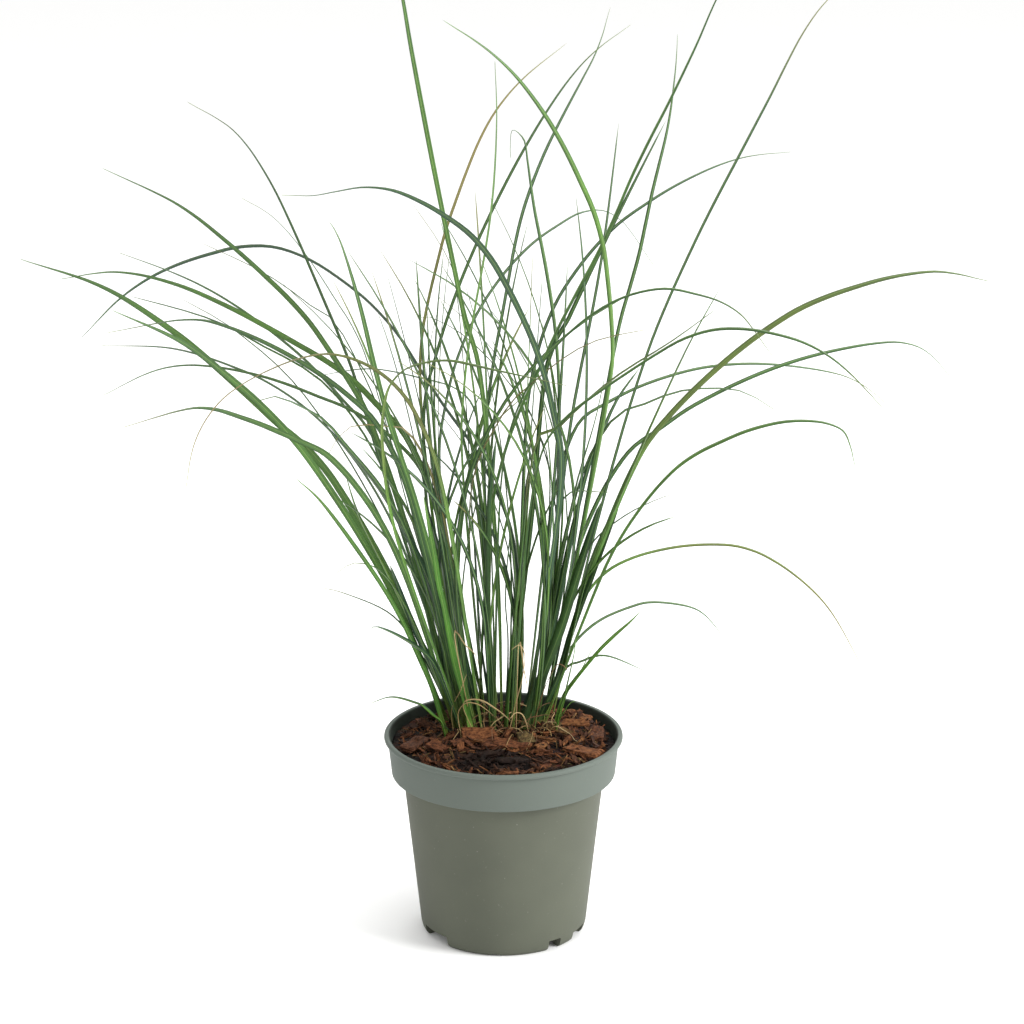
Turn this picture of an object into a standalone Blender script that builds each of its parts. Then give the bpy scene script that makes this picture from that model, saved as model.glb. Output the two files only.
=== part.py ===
"""Ornamental grass clump in a plastic nursery pot.

The model is in metres, +Z up, with the pot standing on Z = 0 and centred on the Z axis.
Leaf routes are written in centimetres, because that is how a leaf is measured with a rule.
"""
import math
import random

import bmesh
import bpy
from mathutils import Matrix, Vector

MM = 0.001
CM = 0.01
GAP = 0.3 * MM

# Pot: a 19 cm round nursery container
POT_HEIGHT = 164.5 * MM
RIM_RADIUS = 95 * MM
BEAD_HEIGHT = 3.5 * MM
COLLAR_RADIUS = 92 * MM
COLLAR_FOOT_RADIUS = 89 * MM
COLLAR_HEIGHT = 32 * MM
WALL_TOP_RADIUS = 80 * MM
WALL_FOOT_RADIUS = 66.5 * MM
FOOT_RADIUS = 63 * MM
CORNER_HEIGHT = 6 * MM
WALL = 1.8 * MM
CORNER_CUT = 1 * MM  # the moulded corners are cut by this much
FLOOR_UNDERSIDE = 10 * MM  # the floor stands clear of the drain notches
FLOOR_CORNER = 3 * MM  # the inside corner between floor and wall
FOOT_RING_WIDTH = 6 * MM
ROUND_STEPS = 48
NOTCH_CUTTER_DEPTH = 18 * MM

# Drain notches through the foot: angle from the front, width in degrees, height
DRAIN_NOTCHES = [
    (-56, 29, 9.5 * MM),
    (38, 11, 9 * MM),
    (65, 18, 8 * MM),
    (-6, 8, 1.5 * MM),
    (125, 27, 9.5 * MM),
    (-125, 27, 9.5 * MM),
    (180, 15, 2 * MM),
]

# Compost: lowest where it meets the pot, highest under the clump
SOIL_EDGE_HEIGHT = 154 * MM
SOIL_MOUND = 9 * MM
SOIL_RINGS = 4

# Clump
CROWN_BACK = 1.8  # centimetres; the clump grows a little behind the pot's middle
LEAF_THICKNESS = 1.0 * MM
LEAF_STATIONS = 23
STATION_CROWDING = 1.3  # stations stand closer towards the tip, where a leaf bends most
SHEATH_WIDENING = 1.45  # the sheath is this much wider than the blade
BLADE_STARTS = 0.32  # fraction of the leaf's length where the sheath ends
TAPER_STARTS = 0.60
TAPER_LAW = 1.3  # a blade narrows slowly at first, then faster
TIP_WIDTH = 0.16  # fraction of the blade's width
TIP_THICKNESS = 0.4  # fraction of the leaf's thickness
DEPTH_LAW = 1.7  # a leaf leaves its foot's depth slowly, then faster
SKETCH_FOOT_UP = 16.2  # centimetres; where the front sketch meets the compost
CURVE_STEPS = 24  # points between two points of a route
EYE = Vector((0.7, -233.2, 105.3))  # centimetres; the front sketch is drawn from here

# Colours
POT_GREY = (0.16, 0.18, 0.15)
COMPOST_BROWN = (0.05, 0.025, 0.012)
BARK_BROWN = (0.22, 0.09, 0.04)
PEAT_BLACK = (0.018, 0.012, 0.009)
LEAF_GREEN = (0.075, 0.19, 0.035)
YOUNG_GREEN = (0.20, 0.36, 0.04)
STRAW = (0.45, 0.32, 0.15)

# Each leaf: foot (right, back), how far back its tip ends, blade width in millimetres, roll of the
# blade about its own length at foot and tip in degrees, and its route (right, up) from the front.
LEAVES = [
    # upright leaves in the middle of the clump
    ((-0.2, 0.9), -4, 4.8, (80, 60),
     [(-0.5, 30), (-1.7, 45.1), (-2.9, 50.1), (-4.9, 60.1), (-6.7, 70), (-7.7, 76), (-9.5, 84)]),
    ((2.2, 0.5), -12, 5.0, (75, 35),
     [(5.2, 28), (7.2, 38.6), (8.3, 45.6), (8.4, 49.1), (7.6, 56.1), (6.2, 60.1), (3.9, 64.7),
      (1.3, 68.4), (-1.2, 70.8), (-4.5, 73)]),
    ((-2.7, 3.5), 14, 3.0, (60, 40),
     [(-5.2, 32), (-6.4, 46.1), (-5, 54.6), (-3.3, 60.1), (-1.2, 65.1), (1.3, 68.4), (4.8, 71.3)]),
    ((-1.6, 1.7), -8, 5.0, (70, 55),
     [(-3.2, 38.1), (-3, 45.4), (-2.3, 50.5), (-1.4, 55.6), (-0.8, 60.1), (-0.5, 65.6), (-0.6, 70)]),
    ((-0.8, 4.4), 20, 3.4, (60, 30),
     [(-1.5, 38.1), (-1, 45.1), (0.1, 51.5), (1.3, 57.8), (3, 62.7), (5, 66.8), (7, 70.7),
      (8, 74)]),
    ((-3.0, 2.4), 9, 3.2, (65, 40),
     [(-5.6, 32), (-6.1, 42.6), (-5, 47.8), (-3.3, 52.9), (-1.1, 58), (1.5, 63.1), (4.2, 67.5),
      (6.6, 70.4), (9.6, 72.7)]),
    ((2.7, 3.1), 12, 3.8, (75, 50),
     [(5.5, 30), (7.4, 41.1), (8.9, 49.7), (10.2, 54.6), (11.3, 60.1), (12.4, 65.1), (12.9, 69.5),
      (13, 72)]),
    ((-2.1, -0.2), -10, 4.4, (70, 55),
     [(-1.2, 33), (0.3, 40.5), (2.3, 45.3), (4.4, 50), (7.5, 56.1), (10, 62), (12.5, 67.1),
      (14.4, 71.2), (15.8, 74.5), (18.7, 80.5)]),
    ((4.0, 3.5), 6, 3.0, (75, 45),
     [(6.4, 30), (8.4, 38.3), (10.1, 44.5), (12, 50.2), (15, 57.2), (17.6, 62.5), (19.9, 67.1),
      (22.2, 71.8), (24.1, 74.5), (26.8, 77)]),
    ((1.0, 2.2), 14, 3.4, (70, 35),
     [(1.6, 38.1), (2.1, 45), (3.9, 51.2), (7.5, 56.4), (11.2, 59.4), (14.9, 61.5), (18.2, 62.7),
      (21.8, 63.1)]),
    ((2.0, 5), 4, 4.6, (80, 60),
     [(4.1, 33), (4.4, 42.1), (4.1, 48.7), (3.3, 54.2), (2.4, 58.8), (1.8, 62.9), (1.45, 64.46),
      (0.95, 64.96), (0.55, 64.26), (0.6, 62.5)]),
    ((-1.9, 6.2), 28, 3.0, (55, 20),
     [(-4.8, 36.1), (-4.3, 44.1), (-2.1, 50.4), (1.4, 55.3), (5, 58), (7.1, 58.7), (9.1, 57.7),
      (11.5, 54.3)]),
    # arching to the right
    ((-0.8, -0.8), -12, 3.8, (60, 30),
     [(-0.4, 34), (0.5, 41.4), (3, 46.8), (6.6, 50.5), (9.7, 52.1), (12.3, 52.6), (14.9, 52.1),
      (17.9, 50.8), (20.8, 47.1)]),
    ((3.2, 1.6), -3, 6.0, (80, 50),
     [(6.5, 29), (10.1, 38.5), (12.9, 42.7), (17.6, 47.4), (22.4, 50.9), (26.5, 52.6),
      (29.7, 53.5), (33.3, 53.9), (37.2, 53.1)]),
    ((3.4, 4.9), 12, 4.2, (75, 35),
     [(5.6, 31), (8.9, 38.6), (11.7, 41.2), (14.9, 43.5), (19.9, 46), (24.8, 47.6), (29.8, 48.4),
      (32.4, 47.7), (34.4, 45.6)]),
    ((0.7, -1.7), -18, 4.0, (65, 30),
     [(1.8, 33), (3.3, 40.5), (6.1, 43.5), (11, 47), (14.1, 48.8), (17.6, 49.5), (22.4, 48.6),
      (25.9, 46.6), (29.8, 42.6)]),
    ((1.9, 5.9), 22, 3.4, (65, 30),
     [(3.6, 34), (5.4, 41.2), (7.5, 43.2), (10.3, 44.8), (14.9, 46.3), (19.7, 46.7), (24.8, 46.1),
      (27.5, 45.1), (30, 43.1)]),
    ((3.2, 0.3), -14, 4.4, (80, 35),
     [(5.9, 25), (9, 32.5), (13.2, 38.2), (17.7, 40.9), (21.2, 42), (23.9, 42.1), (26.3, 41.3),
      (27.4, 38.1)]),
    ((3.6, 2.6), 5, 3.0, (70, 25),
     [(5.2, 25), (7.1, 28.9), (10, 31), (15, 32.1), (19.9, 31.5), (25.1, 27.5), (28.9, 21)]),
    ((3.4, 5.4), 16, 2.8, (70, 25),
     [(5, 23), (7.2, 25.6), (10, 27), (12, 27.4), (15, 26.9), (16.6, 25.5), (17.6, 23.8)]),
    # arching to the left
    ((-3.2, 3.1), 10, 3.6, (75, 45),
     [(-7.2, 31), (-9.9, 40.4), (-11.6, 46.4), (-13.7, 51.9), (-16.1, 57.8), (-18, 61.7),
      (-20.3, 64.8), (-23.7, 66.9)]),
    ((-2.6, 6.0), 26, 3.0, (60, 35),
     [(-6.8, 33), (-9.2, 42.6), (-10.9, 48.3), (-12.7, 51.6), (-15.1, 55.4), (-17.4, 58.1),
      (-19.8, 59.6)]),
    ((1.7, -0.2), -20, 4.4, (65, 30),
     [(4.4, 36.1), (4, 41.8), (3, 46.3), (1.4, 50.5), (-1.4, 55.6), (-4.6, 58.4), (-8.3, 60.2),
      (-11.1, 60.4), (-13.9, 59.8), (-16.9, 59.8)]),
    ((-3.7, 1.3), -4, 4.4, (80, 45),
     [(-7.4, 33), (-10.4, 42.5), (-12.5, 46.4), (-15.1, 50.4), (-18.4, 53.9), (-21.7, 56.9),
      (-24.9, 59.3), (-30.3, 61.9)]),
    ((1.3, 5.2), 22, 5.0, (65, 30),
     [(1, 32), (-2.2, 40), (-5, 44.1), (-7.7, 48.6), (-10, 51.4), (-13.8, 54.4),
      (-17, 55.8), (-19.9, 55.9), (-25, 54.4), (-28.9, 52.1), (-32.4, 48.6)]),
    ((-2.2, -1.1), -14, 4.0, (80, 55),
     [(-6.4, 34), (-8.7, 41.6), (-9.9, 46.4), (-10.8, 50.6), (-11.7, 54.1), (-12.5, 56.6),
      (-13.2, 57.8)]),
    ((-4.2, 3.7), 16, 4.4, (75, 40),
     [(-7.6, 34), (-9.9, 40.7), (-12.5, 44.1), (-15.2, 47.1), (-18.6, 50), (-21.8, 52.2),
      (-25, 53.8), (-29.3, 55.4)]),
    ((-2.5, 5.1), 4, 5.6, (75, 45),
     [(-4.6, 33), (-7.2, 40.4), (-9.8, 43.6), (-12.3, 46.1), (-16.6, 48.8), (-20.7, 51.1),
      (-25, 53), (-29.4, 53.9), (-33.8, 53.3)]),
    ((-3.1, 0), -15, 4.2, (75, 35),
     [(-7, 35.1), (-9.6, 41.6), (-12.4, 44.6), (-15.9, 47.1), (-20, 49.2), (-23.9, 50.2),
      (-30.4, 49.1)]),
    ((-4.0, 2.3), 0, 6.0, (85, 55),
     [(-8.6, 29), (-13.7, 38.2), (-17.4, 42), (-21.5, 46), (-25.1, 49.2), (-30.4, 52.7),
      (-36.8, 54.9)]),
    ((-4.6, 1.6), -24, 5.0, (85, 45),
     [(-9.2, 29), (-14.5, 38.2), (-18.1, 42.8), (-22.2, 46.6), (-25.1, 48.7), (-29.9, 50.9)]),
    ((-3.4, 4.8), 24, 4.0, (75, 35),
     [(-7.8, 32), (-10.9, 38.2), (-13.9, 42), (-16.9, 44.5), (-20, 46.2), (-25.2, 47.9),
      (-30.9, 48.1)]),
    ((-1.4, 3.2), 3, 4.0, (70, 35),
     [(-5.4, 36.1), (-9.8, 41.8), (-13.9, 44), (-18.7, 45.8), (-23.5, 46.6), (-26.9, 46.1),
      (-30.9, 44.1)]),
    ((-4.0, 0), -22, 4.6, (80, 35),
     [(-8.2, 31), (-12.7, 38.5), (-16.7, 41), (-20.9, 42.7), (-23.9, 43.2), (-29.4, 41.6)]),
    ((-1.7, -1.9), -26, 3.0, (60, 20),
     [(-4.6, 36.1), (-7.1, 43.3), (-9.8, 46.2), (-13.3, 47.5), (-17.3, 46.5), (-21.5, 44),
      (-23.8, 40.6), (-24.7, 36.5)]),
    # arching forwards and backwards over the clump
    ((-3.2, -1.5), -30, 4.4, (60, 10),
     [(-8.2, 32), (-9.4, 40.1), (-9, 44.3), (-7.8, 46.1), (-4.7, 47), (-1, 46.3), (5, 44.9)]),
    ((-0.5, 5.9), 30, 4.0, (55, 10),
     [(-2, 38.9), (-2, 42.6), (-3.4, 44.6), (-6.4, 45.6), (-10.4, 46.3), (-14.8, 45.6)]),
]

# Young shoots with wide soft leaves, in the same form as the leaves
SIDE_SHOOTS = [
    ("side_shoot_right", (3.9, -0.9), -3, 3.6, (80, 60),
     [(4.6, 19.2), (5.4, 20.6), (7.3, 23.1), (8.6, 24.5), (10.1, 25.9), (10.9, 26.8)]),
    ("side_shoot_centre", (-2.7, -2.2), -5, 6.2, (85, 70),
     [(-3.2, 19.4), (-4, 22.7), (-4.7, 26.9), (-5.1, 28.8), (-5.4, 31), (-6.2, 36.1)]),
    ("side_shoot_left", (-4.6, -1.6), -8, 3.8, (80, 50),
     [(-5.7, 20.3), (-6.6, 22.6), (-8.1, 26.1), (-10.1, 29.7), (-13.9, 35.3), (-16.3, 37.7)]),
]

# Dead leaves round the foot of the clump
DRY_LEAVES = [
    ((-3.3, -2.9), -4, 2.2, (70, 10),
     [(-3.6, 18), (-3, 18.9), (-2.15, 18.88), (-1.5, 18.5), (-0.7, 17.8)]),
    ((0.4, -2.4), -3, 2.6, (70, 40),
     [(1, 19), (1.5, 21), (1.7, 22.9), (1.3, 23.8), (0.6, 23.4)]),
    ((2.2, -1.8), -5, 2.4, (70, 20),
     [(3, 19.4), (3.6, 21), (4.3, 22.2), (5, 21.8), (5.1, 21)]),
]

# Bark flakes: name, place (right, back) and turn, then length, width and thickness in millimetres
BARK_FLAKES = [
    ("bark_flake_front", (0.2, -2.5), 4, (40, 16, 3.5)),
    ("bark_flake_left", (-7.0, -1.6), 62, (30, 13, 3.0)),
    ("bark_flake_right", (6.3, -3.4), -35, (33, 14, 3.2)),
    ("bark_flake_back", (6.0, 5.2), -49, (28, 11, 3.0)),
    ("bark_flake_side", (7.4, 0.9), 85, (28, 12, 3.0)),
]
PEAT_CLOD_PLACE = (0.6, -5.6)
PEAT_CLOD_SIZE = (30 * MM, 11 * MM, 5 * MM)
FLAKE_CUTS = 2
END_WEAR = 0.35  # most that a flake's ends are worn back at their corners
SIDE_WEAR = 0.5
FACE_WEAR = 0.3
CLOD_WEAR = 0.14


def clear_scene():
    for thing in list(bpy.data.objects):
        bpy.data.objects.remove(thing)


def new_collection(name):
    collection = bpy.data.collections.new(name)
    bpy.context.scene.collection.children.link(collection)
    return collection


def new_material(name, colour, roughness):
    material = bpy.data.materials.new(name)
    material.use_nodes = True
    shader = material.node_tree.nodes["Principled BSDF"]
    shader.inputs["Base Color"].default_value = (*colour, 1)
    shader.inputs["Roughness"].default_value = roughness
    shader.inputs["Metallic"].default_value = 0
    return material


def add_object(name, bm, collection, material=None):
    """Turns a bmesh into a named object in a collection."""
    mesh = bpy.data.meshes.new(name)
    bm.to_mesh(mesh)
    bm.free()
    made = bpy.data.objects.new(name, mesh)
    collection.objects.link(made)
    if material:
        mesh.materials.append(material)
    return made


def turned(name, profile, collection, material):
    """Turns an outline of (radius, height) points, outer side running down, about the Z axis."""
    bm = bmesh.new()
    points = [bm.verts.new((radius, 0, height)) for radius, height in profile]
    for first, second in zip(points, points[1:]):
        bm.edges.new((first, second))
    made = add_object(name, bm, collection, material)
    screw = made.modifiers.new("turn", "SCREW")
    screw.steps = ROUND_STEPS
    screw.render_steps = ROUND_STEPS
    screw.use_merge_vertices = True
    screw.merge_threshold = 0.00005
    screw.use_smooth_shade = False
    return made


def wall_radius(height):
    """Outer radius of the pot's tapering wall at a height."""
    top = POT_HEIGHT - COLLAR_HEIGHT
    share = (height - CORNER_HEIGHT) / (top - CORNER_HEIGHT)
    return WALL_FOOT_RADIUS + share * (WALL_TOP_RADIUS - WALL_FOOT_RADIUS)


def collar_radius(height):
    """Outer radius of the collar at a height."""
    share = (height - (POT_HEIGHT - COLLAR_HEIGHT)) / (COLLAR_HEIGHT - BEAD_HEIGHT)
    return COLLAR_FOOT_RADIUS + share * (COLLAR_RADIUS - COLLAR_FOOT_RADIUS)


def soil_height(right, back):
    """Height of the compost at a place, in metres."""
    off_centre = math.hypot(right, back) / RIM_RADIUS
    return SOIL_EDGE_HEIGHT + SOIL_MOUND * max(0.0, 1 - off_centre * off_centre)


def notch_cutter(angle, width, height, collection):
    """A wedge of the foot ring, from inside the ring to past the pot's corner."""
    bm = bmesh.new()
    bmesh.ops.create_cube(bm, size=1)
    middle = FOOT_RADIUS - CORNER_CUT
    across = 2 * middle * math.sin(math.radians(width) / 2)
    bmesh.ops.scale(bm, verts=bm.verts, vec=(across, NOTCH_CUTTER_DEPTH, 2 * height))
    bmesh.ops.translate(bm, verts=bm.verts, vec=(0, -middle, 0))
    bmesh.ops.rotate(bm, verts=bm.verts, matrix=Matrix.Rotation(math.radians(angle), 3, "Z"))
    cutter = add_object(f"notch_{angle}", bm, collection)
    cutter.hide_render = True
    cutter.display_type = "WIRE"
    return cutter


def make_pot(collection, cutters):
    step = POT_HEIGHT - COLLAR_HEIGHT
    inner_floor = FLOOR_UNDERSIDE + WALL
    floor_corner = inner_floor + FLOOR_CORNER
    bead_foot = POT_HEIGHT - BEAD_HEIGHT
    ring_inside = FOOT_RADIUS - FOOT_RING_WIDTH
    profile = [
        (0, inner_floor),
        (wall_radius(floor_corner) - WALL - FLOOR_CORNER, inner_floor),
        (wall_radius(floor_corner) - WALL, floor_corner),
        (wall_radius(step) - WALL, step + CORNER_CUT),
        (COLLAR_FOOT_RADIUS - WALL, step + WALL),
        (COLLAR_RADIUS - WALL, bead_foot),
        (COLLAR_RADIUS - WALL, POT_HEIGHT - CORNER_CUT),
        (COLLAR_RADIUS - CORNER_CUT, POT_HEIGHT),
        (RIM_RADIUS - CORNER_CUT, POT_HEIGHT),
        (RIM_RADIUS, POT_HEIGHT - CORNER_CUT),
        (RIM_RADIUS, bead_foot + CORNER_CUT),
        (RIM_RADIUS - CORNER_CUT, bead_foot),
        (COLLAR_RADIUS, bead_foot),
        (COLLAR_FOOT_RADIUS, step),
        (WALL_TOP_RADIUS, step - CORNER_CUT),
        (WALL_FOOT_RADIUS, CORNER_HEIGHT),
        (WALL_FOOT_RADIUS - CORNER_CUT, 0.4 * CORNER_HEIGHT),
        (FOOT_RADIUS, 0),
        (ring_inside, 0),
        (FOOT_RADIUS - WALL, FLOOR_UNDERSIDE),
        (0, FLOOR_UNDERSIDE),
    ]
    pot = turned("pot", profile, collection, new_material("pot plastic", POT_GREY, 0.6))
    for angle, width, height in DRAIN_NOTCHES:
        cut = pot.modifiers.new(f"notch {angle}", "BOOLEAN")
        cut.operation = "DIFFERENCE"
        cut.object = notch_cutter(angle, width, height, cutters)


def make_soil(collection):
    step = POT_HEIGHT - COLLAR_HEIGHT
    inset = WALL + GAP
    floor = FLOOR_UNDERSIDE + WALL + GAP
    corner = floor + FLOOR_CORNER
    edge = collar_radius(SOIL_EDGE_HEIGHT) - inset
    profile = []
    for ring in range(SOIL_RINGS + 1):
        radius = edge * ring / SOIL_RINGS
        profile.append((radius, soil_height(radius, 0)))
    profile += [
        (collar_radius(step + WALL) - inset, step + WALL + 2 * GAP),
        (wall_radius(step) - inset, step + WALL + 2 * GAP),
        (wall_radius(corner) - inset, corner + GAP),
        (wall_radius(corner) - inset - FLOOR_CORNER - GAP, floor),
        (0, floor),
    ]
    turned("soil", profile, collection, new_material("compost", COMPOST_BROWN, 0.9))


def along_sight(right, up, back):
    """Moves a point of the front sketch back along the line of sight from the eye."""
    sketch = Vector((right, 0, up))
    share = (back - EYE.y) / -EYE.y
    return (EYE + (sketch - EYE) * share) * CM


def smooth_route(points, stations):
    """Stations along a Catmull-Rom curve through the points."""
    padded = [2 * points[0] - points[1]] + points + [2 * points[-1] - points[-2]]
    fine = []
    for before, start, end, after in zip(padded, padded[1:], padded[2:], padded[3:]):
        for step in range(CURVE_STEPS):
            t = step / CURVE_STEPS
            fine.append(0.5 * (2 * start + (end - before) * t
                               + (2 * before - 5 * start + 4 * end - after) * t ** 2
                               + (3 * start - before - 3 * end + after) * t ** 3))
    fine.append(points[-1])
    travelled = [0.0]
    for first, second in zip(fine, fine[1:]):
        travelled.append(travelled[-1] + (second - first).length)
    route = []
    index = 0
    for station in range(stations):
        share_left = 1 - station / (stations - 1)
        target = travelled[-1] * (1 - share_left ** STATION_CROWDING)
        while index < len(fine) - 2 and travelled[index + 1] < target:
            index += 1
        share = (target - travelled[index]) / (travelled[index + 1] - travelled[index])
        route.append(fine[index].lerp(fine[index + 1], min(1.0, share)))
    return route


def leaf_width(share):
    """Width of a leaf against its blade width, from its foot (0) to its tip (1)."""
    if share < BLADE_STARTS:
        return 1 + (SHEATH_WIDENING - 1) * (1 - share / BLADE_STARTS)
    if share < TAPER_STARTS:
        return 1
    taper = (share - TAPER_STARTS) / (1 - TAPER_STARTS)
    return 1 - (1 - TIP_WIDTH) * taper ** TAPER_LAW


def leaf_route(foot, tip_back, sketch):
    """Stations of a leaf's middle, from its foot on the compost to its tip."""
    foot_right, foot_back = foot[0], foot[1] + CROWN_BACK
    lengths = [0.0]
    corners = [(foot_right, SKETCH_FOOT_UP)] + sketch
    for first, second in zip(corners, corners[1:]):
        lengths.append(lengths[-1] + math.dist(first, second))
    start = Vector((foot_right * CM, foot_back * CM, 0))
    start.z = soil_height(start.x, start.y) + GAP + LEAF_THICKNESS
    points = [start]
    for (right, up), length in zip(sketch, lengths[1:]):
        back = foot_back + (tip_back - foot_back) * (length / lengths[-1]) ** DEPTH_LAW
        points.append(along_sight(right, up, back))
    return smooth_route(points, LEAF_STATIONS)


def make_leaf(name, foot, tip_back, width, roll, sketch, collection, material):
    """Sweeps a flat keeled section along the leaf, by extruding its end face."""
    route = leaf_route(foot, tip_back, sketch)
    lean = (route[-1] - route[0]).to_2d()
    level = Vector((-lean.y, lean.x, 0)).normalized()
    bm = bmesh.new()
    bmesh.ops.create_circle(bm, cap_ends=True, segments=3, radius=1)
    bmesh.ops.scale(bm, verts=bm.verts, vec=(1 / math.sqrt(3), 2 / 3, 1))
    end_face = next(iter(bm.faces))
    section = [corner.co.to_2d() for corner in end_face.verts]
    for number, place in enumerate(route):
        share = number / (len(route) - 1)
        ahead = route[min(number + 1, len(route) - 1)] - route[max(number - 1, 0)]
        ahead.normalize()
        turn = math.radians(roll[0] + (roll[1] - roll[0]) * share)
        side = (level - ahead * level.dot(ahead)).normalized()
        side.rotate(Matrix.Rotation(turn, 3, ahead))
        face_up = ahead.cross(side)
        full_width = width * MM * leaf_width(share)
        thickness = LEAF_THICKNESS * (1 - (1 - TIP_THICKNESS) * share)
        if number:
            grown = bmesh.ops.extrude_face_region(bm, geom=[end_face])
            if number > 1:
                bmesh.ops.delete(bm, geom=[end_face], context="FACES_ONLY")
            end_face = next(item for item in grown["geom"] if isinstance(item, bmesh.types.BMFace))
        for corner, flat in zip(end_face.verts, section):
            corner.co = place + side * (flat.x * full_width) + face_up * (flat.y * thickness)
    bmesh.ops.recalc_face_normals(bm, faces=bm.faces)
    if bm.calc_volume(signed=True) < 0:
        bmesh.ops.reverse_faces(bm, faces=bm.faces)
    add_object(name, bm, collection, material)


def make_flake(name, place, turn, size, collection, material, seed):
    """A split flake of bark: a thin box, worn at its edges and bent out of flat."""
    random.seed(seed)
    length, width, thickness = (side * MM for side in size)
    bm = bmesh.new()
    bmesh.ops.create_cube(bm, size=1)
    bmesh.ops.subdivide_edges(bm, edges=bm.edges, cuts=FLAKE_CUTS, use_grid_fill=True)
    for corner in bm.verts:
        corner.co.x *= length * (1 - END_WEAR * abs(corner.co.y) * random.random())
        corner.co.y *= width * (1 - SIDE_WEAR * abs(corner.co.x) / length * random.random())
        corner.co.z *= thickness * (1 - FACE_WEAR * random.random())
    right, back = place[0] * CM, place[1] * CM
    bmesh.ops.rotate(bm, verts=bm.verts, matrix=Matrix.Rotation(math.radians(turn), 3, "Z"))
    bmesh.ops.translate(bm, verts=bm.verts, vec=(right, back, 0))
    lowest = max(soil_height(v.co.x, v.co.y) - v.co.z for v in bm.verts)
    bmesh.ops.translate(bm, verts=bm.verts, vec=(0, 0, lowest + GAP))
    add_object(name, bm, collection, material)


def make_clod(collection):
    """The crumbly lump of dark peat at the front: a squashed, knobbly ball."""
    random.seed(5)
    bm = bmesh.new()
    bmesh.ops.create_icosphere(bm, subdivisions=2, radius=0.5)
    for corner in bm.verts:
        corner.co *= random.uniform(1 - CLOD_WEAR, 1.0)
    bmesh.ops.scale(bm, verts=bm.verts, vec=PEAT_CLOD_SIZE)
    right, back = PEAT_CLOD_PLACE[0] * CM, PEAT_CLOD_PLACE[1] * CM
    bmesh.ops.translate(bm, verts=bm.verts, vec=(right, back, 0))
    lowest = max(soil_height(v.co.x, v.co.y) - v.co.z for v in bm.verts)
    bmesh.ops.translate(bm, verts=bm.verts, vec=(0, 0, lowest + GAP))
    add_object("peat_clod", bm, collection, new_material("peat", PEAT_BLACK, 0.95))


def main():
    clear_scene()
    parts = new_collection("potted_grass_clump")
    cutters = new_collection("cutters")
    make_pot(parts, cutters)
    make_soil(parts)
    green = new_material("leaf green", LEAF_GREEN, 0.45)
    for number, leaf in enumerate(LEAVES, start=1):
        make_leaf(f"leaf_{number:02}", *leaf, parts, green)
    young = new_material("young leaf green", YOUNG_GREEN, 0.45)
    for shoot in SIDE_SHOOTS:
        make_leaf(*shoot, parts, young)
    straw = new_material("straw", STRAW, 0.7)
    for number, leaf in enumerate(DRY_LEAVES, start=1):
        make_leaf(f"dry_leaf_{number}", *leaf, parts, straw)
    bark = new_material("bark", BARK_BROWN, 0.85)
    for seed, flake in enumerate(BARK_FLAKES):
        make_flake(*flake, parts, bark, seed)
    make_clod(parts)


main()
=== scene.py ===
import math
import random

import bmesh
import bpy
from mathutils import Matrix, Vector, noise


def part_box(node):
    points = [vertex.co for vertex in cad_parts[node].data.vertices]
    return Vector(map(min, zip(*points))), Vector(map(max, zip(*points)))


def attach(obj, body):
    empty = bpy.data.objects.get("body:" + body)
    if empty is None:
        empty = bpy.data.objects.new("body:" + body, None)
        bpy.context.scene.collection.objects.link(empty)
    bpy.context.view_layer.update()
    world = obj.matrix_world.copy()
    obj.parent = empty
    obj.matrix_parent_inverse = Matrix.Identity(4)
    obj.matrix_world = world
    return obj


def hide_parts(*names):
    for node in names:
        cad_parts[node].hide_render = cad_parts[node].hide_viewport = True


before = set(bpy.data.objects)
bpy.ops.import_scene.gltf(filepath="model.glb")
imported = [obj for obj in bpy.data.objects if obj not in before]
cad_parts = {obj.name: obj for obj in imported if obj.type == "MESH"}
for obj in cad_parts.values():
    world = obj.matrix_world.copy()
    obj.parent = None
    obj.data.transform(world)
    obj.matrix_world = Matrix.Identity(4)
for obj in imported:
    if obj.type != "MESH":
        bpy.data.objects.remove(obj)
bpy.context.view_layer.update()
scene = bpy.context.scene
mm = 0.001
cm = 0.01
chipLayers = ("chipTone", "chipAlong", "chipAcross")  # what each vertex tells its material
leafLayers = ("alongLeaf", "acrossLeaf", "leafTone", "leafDryness")
leafVeinGap = 1.1  # millimetres
print("frame:", len(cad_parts), "nodes")


def hexColour(value):  # sRGB hex to the linear values that a shader works in
    parts = [int(value[at:at + 2], 16) / 255 for at in (1, 3, 5)]
    return [*(p / 12.92 if p <= 0.04045 else ((p + 0.055) / 1.055) ** 2.4 for p in parts), 1]


def setInputs(tree, node, inputs):  # a node stands for its first output, text for a colour
    for socket, value in inputs.items():
        value = value.outputs[0] if isinstance(value, bpy.types.Node) else value
        if isinstance(value, bpy.types.NodeSocket):
            tree.links.new(value, node.inputs[socket])
        else:
            plain = hexColour(value) if isinstance(value, str) else value
            node.inputs[socket].default_value = plain


def addNode(tree, kind, inputs=None, stops=None, **settings):
    node = tree.nodes.new("ShaderNode" + kind)
    for name, value in settings.items():
        setattr(node, name, value)
    setInputs(tree, node, inputs or {})
    for number, (place, value) in enumerate(stops or []):
        elements = node.color_ramp.elements
        element = elements[number] if number < 2 else elements.new(place)
        element.position = place
        element.color = hexColour(value)
    return node


def newMaterial(name):
    material = bpy.data.materials.new(name)
    material.use_nodes = True
    return material, material.node_tree, material.node_tree.nodes["Principled BSDF"]


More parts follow.
